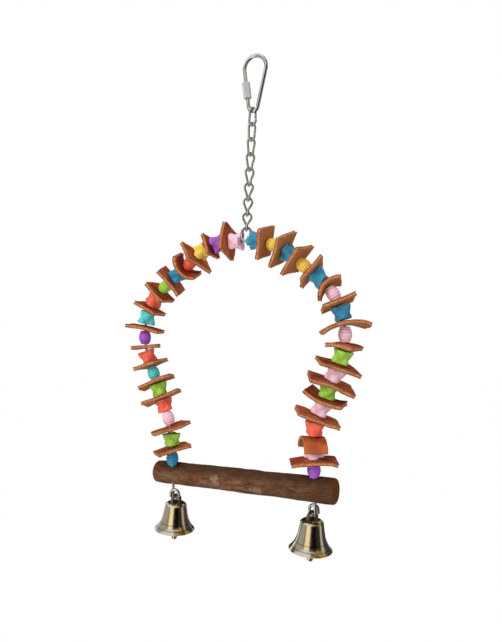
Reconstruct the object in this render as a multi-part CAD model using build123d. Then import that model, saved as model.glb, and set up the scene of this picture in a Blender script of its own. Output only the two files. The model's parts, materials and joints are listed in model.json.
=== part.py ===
from build123d import *
from collections import namedtuple
from math import asin, atan2, cos, degrees, hypot, radians, sin, sqrt, tan
import os

# Bird swing: a bark perch under a wire arch strung with beads and leather chips, hung on a chain.
# Millimetres. The origin is the hang point, at the top of the quick link's inner bend.
# +Z is up, +X runs along the perch to the viewer's right and -Y faces the viewer.

# Quick link: a pear of round rod, narrow end down, with a nut that closes its left leg
QUICK_ROD = 3.2
QUICK_LENGTH = 50.0
QUICK_WIDE_INNER = 16.8
QUICK_NARROW_INNER = 5.2
QUICK_OPENING = 5.0
NUT_LENGTH = 14.5
NUT_ACROSS_FLATS = 6.0
NUT_CHAMFER = 0.5
NUT_PLAY = 0.15
NUT_ABOVE_LEG_FOOT = 7.6

# Chain of links that are each twisted a quarter turn between their two end bends
LINK_COUNT = 8
LINK_WIRE = 2.0
LINK_INNER_LENGTH = 12.9
LINK_INNER_WIDTH = 5.2
LINK_TWIST_BEND = 2.6
FIRST_LINK_FACING = 74.0
LINK_FACING_STEP = -6.5
SEAT_GAP = 0.15

# Arch wire, with a hanging eye at its top and a bell eye at each foot
WIRE = 2.5
EYE_INNER = 4.0
EYE_SIDE_RUN = 4.5
CROSSING_GAP = 0.5
LEG_LEAN = 5.4
LEG_BELOW_PERCH = 0.4
BELL_EYE_INNER = 4.2
BELL_EYE_SIDE_RUN = 0.6
BELL_EYE_TAIL = 3.0
BELL_EYE_LAP_GAP = 0.9

# One side of the arch, from the eye out and down: shoulder, roof, hip, and the leg above the perch. Its hole
# in the perch lies in front of the branch's middle, with a flat seat for the last bead cut into the bark.
Side = namedtuple("Side", "start_run shoulder_radius shoulder_turn roof_run hip_radius hip_turn"
                          " knee_radius leg_run eye_facing hole_in_front seat_depth")
LEFT_SIDE = Side(15.0, 47.0, 41.5, 47.0, 56.0, 73.5, 64.0, 24.0, -12.0, 5.5, 2.4)
RIGHT_SIDE = Side(6.0, 63.0, 36.0, 31.0, 58.0, 73.0, 65.0, 26.0, 153.0, 3.0, 0.8)

# Perch: a natural branch
PERCH_LENGTH = 174.5
PERCH_LEFT_OVERHANG = 20.1
PERCH_DIAMETER = 21.0
PERCH_END_ROUNDING = 1.6
PERCH_HOLE_PLAY = 0.2
PERCH_SEAT_GAP = 0.3
PERCH_SEAT_DIAMETER = 11.6

# Lobed bead: three lobes at its wide end, and three smaller ones at the other, turned by half a step
LOBED_LENGTH = 11.0
LOBED_WIDE = 17.8
LOBED_NARROW = 15.0
LOBED_WAIST = 13.2
LOBED_ROOT = 10.2
LOBED_FLANK = 0.86
LOBED_WIDE_RIM = 2.1
LOBED_NARROW_RIM = 1.6
LOBED_RIM_TAPER = 0.95
LOBED_WAIST_OFFSET = 0.8
BEAD_PLAY = 0.75

# Ribbed barrel bead
BARREL_LENGTH = 12.6
BARREL_DIAMETER = 11.4
BARREL_END = 7.2
BARREL_RIBS = 6
RIB_HEIGHT = 0.55

# Leather chips
LEATHER = 3.0
LEATHER_HOLE_PLAY = 0.25
PIECE_GAP = 0.25
CHIPS_PER_NODE = 3

# Bells
BELL_MOUTH = 36.0
BELL_SHOULDER = 19.4
BELL_WAIST = 23.4
BELL_FLARE = 27.2
BELL_SHOULDER_TO_WAIST = 11.4
BELL_WAIST_TO_FLARE = 4.9
BELL_FLARE_TO_LIP = 5.9
BELL_CROWN_HEIGHT = 2.4
BELL_WALL = 1.2
CROWN_FALL = 0.3
FLANK_HOLLOW = 0.42
EAR_WIDTH = 11.6
EAR_HEIGHT = 7.0
EAR_INSIDE = 6.5
EAR_STRAP_WIDTH = 2.6
EAR_STRAP = 1.4
EAR_SLOT_PLAY = 0.1
EAR_EYE_PLAY = 0.08
CLAPPER_RING_WIRE = 1.6
CLAPPER_RING_PLAY = 0.25
CLAPPER_ROD = 1.8
CLAPPER_BALL = 5.2
CLAPPER_BELOW_LIP = 10.5

# Beads and chips of each strand, from the eye down. A bead's spin turns it about the wire, and its wide end
# faces up the wire unless it is flipped. A chip's tilt lowers its right-hand side and its nod its front, a
# positive curl bends two opposite edges down the wire and a negative one bends them up.
Bead = namedtuple("Bead", "kind colour spin flipped", defaults=(0.0, False))
Chip = namedtuple("Chip", "width depth spin curl tilt nod", defaults=(0.0, 0.0, 0.0))

LEFT_STRAND = [
    Bead("lobed", "pink", 20.0),
    Chip(26.0, 26.0, 20.0),
    Bead("lobed", "purple", 50.0, True),
    Chip(20.0, 20.0, 10.0, 15.0),
    Bead("lobed", "yellow", 5.0, True),
    Chip(29.0, 28.0, 35.0, 0.0, -5.0),
    Bead("barrel", "coral"),
    Chip(30.0, 24.0, -20.0, -115.0),
    Bead("lobed", "blue", 30.0),
    Chip(29.0, 25.0, -22.0, 8.0, 4.0, -5.0),
    Bead("barrel", "green"),
    Chip(24.0, 24.0, -4.0, -10.0),
    Bead("lobed", "coral", 10.0, True),
    Chip(24.0, 23.0, -2.0, 0.0, 3.0, -4.0),
    Bead("lobed", "teal", 45.0, True),
    Chip(32.0, 25.0, -18.0, 8.0, 5.0, -3.0),
    Bead("barrel", "purple"),
    Chip(25.0, 24.0, -28.0, 0.0, 5.0),
    Bead("lobed", "coral", 75.0),
    Chip(24.0, 25.0, 0.0, -8.0, 3.0),
    Bead("barrel", "teal"),
    Chip(32.0, 25.0, -24.0, 10.0, -4.0),
    Bead("lobed", "green", 40.0),
    Chip(35.0, 26.0, -24.0, 0.0, -3.0),
    Bead("lobed", "coral", 15.0),
    Bead("barrel", "pink"),
    Chip(32.0, 28.0, -48.0, 0.0, -7.0, 6.0),
    Bead("lobed", "green", 60.0),
    Chip(31.0, 26.0, -46.0, 10.0, -10.0, 5.0),
    Bead("barrel", "blue"),
]

RIGHT_STRAND = [
    Bead("lobed", "blue", 40.0),
    Chip(26.0, 26.0, 15.0),
    Bead("barrel", "yellow"),
    Chip(28.0, 27.0, 25.0),
    Bead("lobed", "blue", 10.0),
    Chip(27.0, 27.0, 15.0, 10.0),
    Bead("barrel", "yellow"),
    Chip(26.0, 26.0, -22.0, 0.0, 0.0, 6.0),
    Bead("lobed", "blue", 55.0),
    Chip(26.0, 22.0, -20.0, 100.0),
    Bead("barrel", "pink"),
    Chip(28.0, 26.0, -24.0, -6.0),
    Bead("lobed", "blue", 70.0),
    Chip(40.0, 27.0, -24.0, 60.0),
    Bead("barrel", "pink"),
    Chip(24.0, 22.0, 10.0, 25.0),
    Bead("lobed", "green", 25.0),
    Chip(34.0, 26.0, -30.0, 12.0),
    Bead("lobed", "pink", 60.0),
    Chip(38.0, 27.0, -26.0, 14.0),
    Bead("lobed", "green", 0.0),
    Chip(34.0, 26.0, -4.0, -45.0),
    Bead("lobed", "pink", 35.0),
    Chip(36.0, 26.0, -26.0, 8.0, 2.0, -4.0),
    Bead("lobed", "coral", 85.0),
    Chip(34.0, 19.0, 58.0, 150.0),
    Bead("lobed", "pink", 15.0, True),
    Chip(38.0, 26.0, -24.0, 30.0),
    Bead("barrel", "purple"),
]

UP = Vector(0, 0, 1)
DOWN = Vector(0, 0, -1)
BACK = Vector(0, 1, 0)

Step = namedtuple("Step", "begin length point heading radius toward")
Place = namedtuple("Place", "item point heading")


def along(step, distance):
    """The point and heading at a distance along one straight or bent step of a route."""
    if step.radius is None:
        return step.point + step.heading * distance, step.heading
    angle = distance / step.radius
    forward = step.heading * (step.radius * sin(angle))
    sideways = step.toward * (step.radius * (1 - cos(angle)))
    heading = step.heading * cos(angle) + step.toward * sin(angle)
    return step.point + forward + sideways, heading


class Route:
    """A wire's centreline, grown from one end as straight runs and tangent round bends."""

    def __init__(self, point, heading):
        self.point = point
        self.heading = heading.normalized()
        self.length = 0.0
        self.steps = []

    def add(self, length, radius, toward):
        step = Step(self.length, length, self.point, self.heading, radius, toward)
        self.steps.append(step)
        self.point, self.heading = along(step, length)
        self.length += length

    def straight(self, length):
        self.add(length, None, None)

    def bend(self, radius, angle, toward):
        self.add(radius * radians(angle), radius, toward.normalized())

    def at(self, distance):
        step = [s for s in self.steps if s.begin <= max(distance, 0.0)][-1]
        return along(step, distance - step.begin)

    def edge(self, step):
        end = along(step, step.length)[0]
        if step.radius is None:
            return Edge.make_line(step.point, end)
        return Edge.make_three_point_arc(step.point, along(step, step.length / 2)[0], end)

    def rod(self, diameter):
        first = self.steps[0]
        section = Plane(origin=first.point, z_dir=first.heading) * Circle(diameter / 2)
        return sweep(section, path=Wire([self.edge(step) for step in self.steps]))


def level(facing):
    """The level direction at an angle in degrees from +X, anticlockwise as seen from above."""
    return Vector(cos(radians(facing)), sin(radians(facing)), 0)


# Quick link

QUICK_WIDE_RADIUS = (QUICK_WIDE_INNER + QUICK_ROD) / 2
QUICK_NARROW_RADIUS = (QUICK_NARROW_INNER + QUICK_ROD) / 2
QUICK_CENTRES = QUICK_LENGTH - QUICK_ROD - QUICK_WIDE_RADIUS - QUICK_NARROW_RADIUS
QUICK_SPREAD = asin((QUICK_WIDE_RADIUS - QUICK_NARROW_RADIUS) / QUICK_CENTRES)
QUICK_LEG = QUICK_CENTRES * cos(QUICK_SPREAD)
QUICK_BOTTOM = 1.5 * QUICK_ROD - QUICK_LENGTH
LEG_UP = Vector(-sin(QUICK_SPREAD), 0, cos(QUICK_SPREAD))
LEG_IN = Vector(cos(QUICK_SPREAD), 0, sin(QUICK_SPREAD))
LEG_FOOT = Vector(0, 0, QUICK_BOTTOM + QUICK_NARROW_RADIUS) - LEG_IN * QUICK_NARROW_RADIUS
NUT_MIDDLE = NUT_ABOVE_LEG_FOOT + NUT_LENGTH / 2


def quick_link():
    upper_end = NUT_MIDDLE + QUICK_OPENING / 2
    lower_end = NUT_MIDDLE - QUICK_OPENING / 2
    spread = degrees(QUICK_SPREAD)
    route = Route(LEG_FOOT + LEG_UP * upper_end, LEG_UP)
    route.straight(QUICK_LEG - upper_end)
    route.bend(QUICK_WIDE_RADIUS, 180 + 2 * spread, LEG_IN)
    route.straight(QUICK_LEG)
    route.bend(QUICK_NARROW_RADIUS, 180 - 2 * spread, LEG_IN * -1 + UP * (2 * LEG_IN.Z))
    route.straight(lower_end)
    return route.rod(QUICK_ROD)


def quick_link_nut():
    blank = extrude(RegularPolygon(NUT_ACROSS_FLATS / 2, 6, major_radius=False), NUT_LENGTH)
    ends = blank.faces().sort_by(Axis.Z)
    rims = ends[0].edges() + ends[-1].edges()
    blank = chamfer(rims, NUT_CHAMFER)
    bore = Cylinder(QUICK_ROD / 2 + NUT_PLAY, 3 * NUT_LENGTH)
    foot = LEG_FOOT + LEG_UP * NUT_ABOVE_LEG_FOOT
    return Plane(origin=foot, x_dir=BACK, z_dir=LEG_UP) * (blank - bore)


# Chain

LINK_BEND = (LINK_INNER_WIDTH + LINK_WIRE) / 2
LINK_REACH = LINK_INNER_LENGTH + LINK_WIRE
LINK_PITCH = LINK_REACH - LINK_WIRE - SEAT_GAP
FIRST_LINK_TOP = QUICK_BOTTOM + (QUICK_ROD + LINK_WIRE) / 2 + SEAT_GAP


def link_facing(index):
    return FIRST_LINK_FACING + LINK_FACING_STEP * index


def link_top(index):
    """The centre of the wire at the top of a link."""
    return Vector(0, 0, FIRST_LINK_TOP - LINK_PITCH * index)


def link_bottom(index):
    return link_top(index) + DOWN * LINK_REACH


def half_link():
    """Half of a link: a quarter bend, a slanting run to the next quarter round, and a quarter bend."""
    out, across = Vector(1, 0, 0), Vector(0, -1, 0)
    sideways = (across - out).normalized()
    step = LINK_BEND * sqrt(2) - 2 * LINK_TWIST_BEND
    drop = LINK_REACH - 2 * LINK_BEND
    run = sqrt(step ** 2 + drop ** 2 - (2 * LINK_TWIST_BEND) ** 2)
    slant = atan2(2 * LINK_TWIST_BEND, run) + atan2(step, drop)
    route = Route(Vector(0, 0, 0), out)
    route.bend(LINK_BEND, 90, DOWN)
    route.bend(LINK_TWIST_BEND, degrees(slant), sideways)
    route.straight(run)
    route.bend(LINK_TWIST_BEND, degrees(slant), DOWN * sin(slant) - sideways * cos(slant))
    route.bend(LINK_BEND, 90, across * -1)
    return route.rod(LINK_WIRE)


def chain_links():
    half = half_link()
    whole = half + Rot(0, 0, 180) * half
    return [Pos(link_top(i)) * Rot(0, 0, link_facing(i)) * whole for i in range(LINK_COUNT)]


# Arch wire

EYE_RADIUS = (EYE_INNER + WIRE) / 2
CROSSING_STEP = WIRE + CROSSING_GAP
EYE_TOP_ACROSS = Vector(-2 * EYE_RADIUS, -CROSSING_STEP, 0)
EYE_TOP_RADIUS = EYE_TOP_ACROSS.length / 2
EYE_TOP = link_bottom(LINK_COUNT - 1) + UP * ((LINK_WIRE + WIRE) / 2 + SEAT_GAP)
CROSSING = EYE_TOP + DOWN * (EYE_TOP_RADIUS + EYE_SIDE_RUN + EYE_RADIUS)
FIRST_PIECE_AT = EYE_RADIUS + WIRE / 2 + PIECE_GAP


def side_route(side, outward, hip_run):
    """One side of the arch from the crossing under the eye to the top of the perch."""
    depth = BACK * (CROSSING_STEP / 2) * (-outward)
    out = Vector(outward, 0, 0)
    lean_end = 90 - LEG_LEAN * outward
    inward_lean = side.shoulder_turn + side.hip_turn
    route = Route(CROSSING + depth, out)
    route.straight(side.start_run)
    route.bend(side.shoulder_radius, side.shoulder_turn, DOWN)
    route.straight(side.roof_run)
    turned = radians(side.shoulder_turn)
    route.bend(side.hip_radius, side.hip_turn, DOWN * cos(turned) - out * sin(turned))
    route.straight(hip_run)
    turned = radians(inward_lean)
    route.bend(side.knee_radius, inward_lean - lean_end, out * sin(turned) - DOWN * cos(turned))
    route.straight(side.leg_run)
    return route


def chip_lean(chip):
    """The angle between a chip's plane and the plane square to the wire."""
    return radians(hypot(chip.tilt, chip.nod))


def piece_length(item):
    if isinstance(item, Chip):
        return LEATHER / cos(chip_lean(item))
    return LOBED_LENGTH if item.kind == "lobed" else BARREL_LENGTH


def end_radius(bead, facing_up):
    if bead.kind == "barrel":
        return BARREL_END / 2
    return (LOBED_WIDE if facing_up != bead.flipped else LOBED_NARROW) / 2


def bend_depth(chip, reach):
    """How far a curled chip leaves its middle plane at a distance from the wire."""
    if chip.curl == 0:
        return 0.0
    radius = chip.width / radians(abs(chip.curl))
    return radius - sqrt(radius ** 2 - reach ** 2)


def room_between(upper, lower, turn):
    """The gap along the wire at which two neighbours just clear each other."""
    if isinstance(upper, Bead) and isinstance(lower, Bead):
        reach = min(end_radius(upper, False), end_radius(lower, True))
        return PIECE_GAP + reach * tan(turn)
    if isinstance(upper, Chip):
        chip, reach, cupped = upper, end_radius(lower, True), upper.curl > 0
    else:
        chip, reach, cupped = lower, end_radius(upper, False), lower.curl < 0
    cup = bend_depth(chip, reach) if cupped else 0.0
    return PIECE_GAP + cup + reach * tan(turn + chip_lean(chip))


def turn_between(route, first, second):
    alike = route.at(first)[1].dot(route.at(second)[1])
    return sqrt(max(0.0, 2 - 2 * alike))


def strand_distances(strand, route):
    """Where along the route each piece of a strand has its middle, and where the strand ends."""
    middles = []
    end = FIRST_PIECE_AT
    for index, item in enumerate(strand):
        half = piece_length(item) / 2
        middle = end + half
        if index > 0:
            for _ in range(4):
                turn = turn_between(route, middles[-1], middle)
                middle = end + room_between(strand[index - 1], item, turn) + half
        middles.append(middle)
        end = middle + half
    return middles, end + PERCH_SEAT_GAP


def strung_side(side, outward, strand):
    """A side whose straight hip run is as long as its strand needs, with the places of the pieces."""
    hip_run = side.leg_run
    for _ in range(40):
        route = side_route(side, outward, hip_run)
        middles, end = strand_distances(strand, route)
        hip_run += end - route.length
    places = [Place(item, *route.at(middle)) for item, middle in zip(strand, middles)]
    return route, places


LEFT_ROUTE, LEFT_PLACES = strung_side(LEFT_SIDE, -1, LEFT_STRAND)
RIGHT_ROUTE, RIGHT_PLACES = strung_side(RIGHT_SIDE, 1, RIGHT_STRAND)
LEFT_HOLE = LEFT_ROUTE.point + LEFT_ROUTE.heading * (PERCH_DIAMETER / 2 - LEFT_SIDE.seat_depth)
RIGHT_HOLE = RIGHT_ROUTE.point + RIGHT_ROUTE.heading * (PERCH_DIAMETER / 2 - RIGHT_SIDE.seat_depth)

BELL_EYE_RADIUS = (BELL_EYE_INNER + WIRE) / 2
BELL_EYE_LAP = WIRE + BELL_EYE_LAP_GAP


def leg_to_bell_eye(side):
    """How far a leg runs straight, from the last bead's seat through the perch to its bell eye."""
    through_perch = PERCH_DIAMETER - side.seat_depth
    return through_perch + LEG_BELOW_PERCH + WIRE + BELL_EYE_RADIUS + BELL_EYE_SIDE_RUN


def bell_pivot(route, side):
    """The wire's centre at the bottom of a bell eye, where the bell hangs."""
    leg_end = route.point + route.heading * leg_to_bell_eye(side)
    return leg_end + (route.heading + eye_direction(route, side)) * BELL_EYE_RADIUS


def eye_direction(route, side):
    """The direction, square to the leg, in which a bell eye opens from the leg."""
    out = level(side.eye_facing)
    return (out - route.heading * out.dot(route.heading)).normalized()


def add_bell_eye(route, side):
    """Runs a leg through the perch and curls its end into an eye that laps beside the leg."""
    down = route.heading
    out = eye_direction(route, side)
    beside = down.cross(out)
    route.straight(leg_to_bell_eye(side))
    route.bend(BELL_EYE_RADIUS, 180, out)
    route.straight(BELL_EYE_SIDE_RUN)
    back_over = out * (-2 * BELL_EYE_RADIUS) + beside * BELL_EYE_LAP
    route.bend(back_over.length / 2, 180, back_over)
    route.straight(BELL_EYE_TAIL)


def copy_onto(route, steps):
    for step in steps:
        route.add(step.length, step.radius, step.toward)


def arch_wire():
    left = Route(LEFT_ROUTE.steps[0].point, LEFT_ROUTE.steps[0].heading)
    copy_onto(left, LEFT_ROUTE.steps)
    add_bell_eye(left, LEFT_SIDE)
    right = Route(LEFT_ROUTE.steps[0].point, Vector(1, 0, 0))
    right.bend(EYE_RADIUS, 90, UP)
    right.straight(EYE_SIDE_RUN)
    right.bend(EYE_TOP_RADIUS, 180, EYE_TOP_ACROSS)
    right.straight(EYE_SIDE_RUN)
    right.bend(EYE_RADIUS, 90, Vector(1, 0, 0))
    copy_onto(right, RIGHT_ROUTE.steps)
    add_bell_eye(right, RIGHT_SIDE)
    return left.rod(WIRE) + right.rod(WIRE)


# Perch

BEHIND_LEFT_HOLE = LEFT_HOLE + BACK * LEFT_SIDE.hole_in_front
BEHIND_RIGHT_HOLE = RIGHT_HOLE + BACK * RIGHT_SIDE.hole_in_front
PERCH_AXIS = (BEHIND_RIGHT_HOLE - BEHIND_LEFT_HOLE).normalized()
# Share of the length and of the diameter at each station of the branch
PERCH_STATIONS = [(0.0, 0.96), (0.1, 0.99), (0.3, 0.97), (0.52, 1.0), (0.72, 0.99), (0.9, 1.02), (1.0, 0.99)]


def perch():
    left_end = BEHIND_LEFT_HOLE - PERCH_AXIS * PERCH_LEFT_OVERHANG
    rings = []
    for share, girth in PERCH_STATIONS:
        station = Plane(origin=left_end + PERCH_AXIS * (PERCH_LENGTH * share), x_dir=BACK, z_dir=PERCH_AXIS)
        rings.append(station * Circle(PERCH_DIAMETER / 2 * girth))
    branch = loft(rings)
    end_faces = [branch.faces().sort_by(Axis.X)[0], branch.faces().sort_by(Axis.X)[-1]]
    branch = fillet([face.edges()[0] for face in end_faces], PERCH_END_ROUNDING)
    for hole, route, side in ((LEFT_HOLE, LEFT_ROUTE, LEFT_SIDE), (RIGHT_HOLE, RIGHT_ROUTE, RIGHT_SIDE)):
        drill = Cylinder(WIRE / 2 + PERCH_HOLE_PLAY, 2 * PERCH_DIAMETER)
        seat = Pos(0, 0, side.seat_depth - PERCH_DIAMETER) * Cylinder(PERCH_SEAT_DIAMETER / 2, PERCH_DIAMETER)
        branch -= Plane(origin=hole, x_dir=BACK, z_dir=route.heading) * (drill + seat)
    return branch


# Beads

def bead_bore(length):
    return Cylinder(WIRE / 2 + BEAD_PLAY, 2 * length)


def lobed_section(height, first, second):
    """A closed outline of six arcs that reach out by the first and the second radius in turn."""
    flank = max(first, second) * LOBED_FLANK
    edges = []
    for sixth in range(6):
        middle = first if sixth % 2 == 0 else second
        points = []
        for radius, angle in ((flank, -30), (middle, 0), (flank, 30)):
            turn = radians(60 * sixth + angle)
            points.append(Vector(radius * cos(turn), radius * sin(turn), height))
        edges.append(Edge.make_three_point_arc(*points))
    return Face(Wire(edges))


def lobed_bead():
    """Its wide end is at the bottom of its own frame, because the frame's +Z runs down the wire."""
    wide, narrow, root, waist = LOBED_WIDE / 2, LOBED_NARROW / 2, LOBED_ROOT / 2, LOBED_WAIST / 2
    half = LOBED_LENGTH / 2
    sections = [
        lobed_section(-half, wide, root),
        lobed_section(LOBED_WIDE_RIM - half, LOBED_RIM_TAPER * wide, root),
        lobed_section(LOBED_WAIST_OFFSET, waist, waist),
        lobed_section(half - LOBED_NARROW_RIM, root, narrow),
        lobed_section(half, root, LOBED_RIM_TAPER * narrow),
    ]
    return loft(sections) - bead_bore(LOBED_LENGTH)


def barrel_radius(height):
    bulge = (BARREL_DIAMETER - BARREL_END) / 2
    return BARREL_DIAMETER / 2 - bulge * (2 * height / BARREL_LENGTH) ** 2


def barrel_bead():
    rib = BARREL_LENGTH / BARREL_RIBS
    half = BARREL_LENGTH / 2
    inner = WIRE / 2 + BEAD_PLAY
    edges = []
    for index in range(BARREL_RIBS):
        points = []
        for height, groove in ((0.0, RIB_HEIGHT), (0.5, 0.0), (1.0, RIB_HEIGHT)):
            z = (index + height) * rib - half
            points.append(Vector(barrel_radius(z) - groove, 0, z))
        edges.append(Edge.make_three_point_arc(*points))
    top, bottom = edges[-1] @ 1, edges[0] @ 0
    edges.append(Edge.make_line(top, Vector(inner, 0, half)))
    edges.append(Edge.make_line(Vector(inner, 0, half), Vector(inner, 0, -half)))
    edges.append(Edge.make_line(Vector(inner, 0, -half), bottom))
    return revolve(Face(Wire(edges)), Axis.Z)


def strand_frame(place):
    """A frame on the wire with +Z down the strand and +Y to the back."""
    return Plane(origin=place.point, x_dir=BACK.cross(place.heading), z_dir=place.heading)


def bead_nodes(side_name, places):
    shapes = {"lobed": lobed_bead(), "barrel": barrel_bead()}
    nodes = {}
    beads = [place for place in places if isinstance(place.item, Bead)]
    for number, place in enumerate(beads, 1):
        bead = place.item
        flip = Rot(180, 0, 0) if bead.flipped else Rot(0, 0, 0)
        shape = strand_frame(place) * (Rot(0, 0, bead.spin) * flip * shapes[bead.kind])
        nodes[f"bead_{side_name}_{number:02d}_{bead.colour}"] = [shape]
    return nodes


# Leather chips

def chip_plate(chip):
    if chip.curl == 0:
        return Box(chip.width, chip.depth, LEATHER)
    radius = chip.width / radians(abs(chip.curl))
    half = radians(abs(chip.curl)) / 2

    def rim(offset, angle):
        reach = radius + offset
        return Vector(reach * sin(angle), 0, radius - reach * cos(angle))

    outer, inner = LEATHER / 2, -LEATHER / 2
    outline = Wire([
        Edge.make_three_point_arc(rim(outer, -half), rim(outer, 0), rim(outer, half)),
        Edge.make_line(rim(outer, half), rim(inner, half)),
        Edge.make_three_point_arc(rim(inner, half), rim(inner, 0), rim(inner, -half)),
        Edge.make_line(rim(inner, -half), rim(outer, -half)),
    ])
    plate = extrude(Face(outline), chip.depth / 2, dir=(0, 1, 0), both=True)
    return plate if chip.curl > 0 else Rot(180, 0, 0) * plate


def leather_chip(place):
    chip = place.item
    turned = Rot(0, chip.tilt, 0) * Rot(-chip.nod, 0, 0) * Rot(0, 0, chip.spin) * chip_plate(chip)
    hole = Cylinder(WIRE / 2 + LEATHER_HOLE_PLAY, chip.width)
    return strand_frame(place) * (turned - hole)


def leather_nodes(side_name, places):
    chips = [leather_chip(place) for place in places if isinstance(place.item, Chip)]
    nodes = {}
    for first in range(0, len(chips), CHIPS_PER_NODE):
        number = first // CHIPS_PER_NODE + 1
        nodes[f"leather_{side_name}_{number}"] = chips[first:first + CHIPS_PER_NODE]
    return nodes


# Bells. Each is modelled about the middle of its crown's top, with its ear's arch along its own Y.

BELL_LIP = -(BELL_CROWN_HEIGHT + BELL_SHOULDER_TO_WAIST + BELL_WAIST_TO_FLARE + BELL_FLARE_TO_LIP)
EAR_HALF_STRAP = EAR_STRAP_WIDTH / 2
EYE_RISE = BELL_EYE_INNER / 2 - sqrt((BELL_EYE_INNER / 2) ** 2 - EAR_HALF_STRAP ** 2)
EAR_SEAT_GAP = SEAT_GAP + EAR_EYE_PLAY + EYE_RISE + EAR_HALF_STRAP * tan(radians(LEG_LEAN))
EAR_PIVOT_HEIGHT = EAR_HEIGHT - EAR_STRAP - EAR_SEAT_GAP - WIRE / 2
EAR_BOTTOM = -BELL_WALL - EAR_INSIDE
CLAPPER_PIVOT = EAR_BOTTOM + EAR_STRAP / 2


def bell_solid(inset):
    """The bell's outside drawn in by inset, filled."""
    flat = EAR_WIDTH / 2
    top = -inset
    shoulder = -BELL_CROWN_HEIGHT
    waist = shoulder - BELL_SHOULDER_TO_WAIST
    flare = waist - BELL_WAIST_TO_FLARE
    r_shoulder, r_waist = BELL_SHOULDER / 2 - inset, BELL_WAIST / 2 - inset
    r_flare, r_lip = BELL_FLARE / 2 - inset, BELL_MOUTH / 2 - inset
    crown_mid = Vector((flat + r_shoulder + inset) / 2, 0, top + CROWN_FALL * (shoulder - top))
    flank_mid = Vector(r_shoulder + FLANK_HOLLOW * (r_waist - r_shoulder), 0, (shoulder + waist) / 2)
    outline = Wire([
        Edge.make_line(Vector(0, 0, top), Vector(flat, 0, top)),
        Edge.make_three_point_arc(Vector(flat, 0, top), crown_mid, Vector(r_shoulder, 0, shoulder)),
        Edge.make_three_point_arc(Vector(r_shoulder, 0, shoulder), flank_mid, Vector(r_waist, 0, waist)),
        Edge.make_three_point_arc(Vector(r_waist, 0, waist), Vector(r_flare, 0, flare),
                                  Vector(r_lip, 0, BELL_LIP)),
        Edge.make_line(Vector(r_lip, 0, BELL_LIP), Vector(0, 0, BELL_LIP)),
        Edge.make_line(Vector(0, 0, BELL_LIP), Vector(0, 0, top)),
    ])
    return revolve(Face(outline), Axis.Z)


def bell_shell():
    shell = bell_solid(0.0) - bell_solid(BELL_WALL)
    slot = Box(EAR_STRAP_WIDTH + 2 * EAR_SLOT_PLAY, EAR_STRAP + 2 * EAR_SLOT_PLAY, 4 * BELL_WALL)
    for side in (-1, 1):
        shell -= Pos(0, side * (EAR_WIDTH - EAR_STRAP) / 2, 0) * slot
    return shell


def bell_ear():
    """A closed strap that passes through the crown: an arch above it and a hanger for the clapper below."""
    height = EAR_HEIGHT - EAR_BOTTOM
    loop = SlotOverall(height, EAR_WIDTH) - SlotOverall(height - 2 * EAR_STRAP, EAR_WIDTH - 2 * EAR_STRAP)
    upright = Plane(origin=(0, 0, (EAR_HEIGHT + EAR_BOTTOM) / 2), x_dir=(0, 0, 1), z_dir=(1, 0, 0))
    return upright * extrude(loop, EAR_STRAP_WIDTH / 2, both=True)


def clapper():
    bar_corner = sqrt(EAR_STRAP ** 2 + EAR_STRAP_WIDTH ** 2) / 2
    ring_radius = bar_corner + CLAPPER_RING_PLAY + CLAPPER_RING_WIRE / 2
    ring = Rot(90, 0, 0) * Torus(ring_radius, CLAPPER_RING_WIRE / 2)
    ball_at = BELL_LIP - CLAPPER_BELOW_LIP + CLAPPER_BALL / 2
    rod_top = CLAPPER_PIVOT - ring_radius
    rod = Pos(0, 0, (rod_top + ball_at) / 2) * Cylinder(CLAPPER_ROD / 2, rod_top - ball_at)
    return Pos(0, 0, CLAPPER_PIVOT) * ring + rod + Pos(0, 0, ball_at) * Sphere(CLAPPER_BALL / 2)


def bell_frame(route, side):
    crown = bell_pivot(route, side) + DOWN * EAR_PIVOT_HEIGHT
    return Plane(origin=crown, x_dir=level(side.eye_facing), z_dir=UP)


def bell_nodes(side_name, route, side):
    frame = bell_frame(route, side)
    return {
        f"bell_shell_{side_name}": [frame * bell_shell()],
        f"bell_ear_{side_name}": [frame * bell_ear()],
        f"clapper_{side_name}": [frame * clapper()],
    }


def all_nodes():
    nodes = {"quick_link": [quick_link()], "quick_link_nut": [quick_link_nut()]}
    for number, link in enumerate(chain_links(), 1):
        nodes[f"chain_link_{number}"] = [link]
    nodes["arch_wire"] = [arch_wire()]
    nodes["perch"] = [perch()]
    for side_name, places in (("left", LEFT_PLACES), ("right", RIGHT_PLACES)):
        nodes |= bead_nodes(side_name, places)
        nodes |= leather_nodes(side_name, places)
    nodes |= bell_nodes("left", LEFT_ROUTE, LEFT_SIDE)
    nodes |= bell_nodes("right", RIGHT_ROUTE, RIGHT_SIDE)
    return nodes


def main():
    os.makedirs("parts", exist_ok=True)
    for name, pieces in all_nodes().items():
        solids = [solid for piece in pieces for solid in piece.solids()]
        export_step(Compound(solids), f"parts/{name}.step")
    print("left side", round(LEFT_ROUTE.length, 1), "hole at", LEFT_HOLE)
    print("right side", round(RIGHT_ROUTE.length, 1), "hole at", RIGHT_HOLE)


if __name__ == "__main__":
    main()
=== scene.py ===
# %% [markdown]
# # A bird swing
#
# This lesson dresses a hanging bird swing: a bark-covered perch under a wire arch that is strung with moulded
# beads and leather chips, with a twisted chain and a quick link above and a bell under each end. The solids
# come from the CAD frame. Metal pieces keep their CAD meshes and get a finish. Beads, leather and bark are
# rebuilt, because those surfaces are soft, worn or rough and a CAD solid is none of these.

import json
from math import atan2, cos, radians, sin

import bmesh
import bpy
import numpy as np
from mathutils import Matrix, Vector, noise
from mathutils.bvhtree import BVHTree


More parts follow.
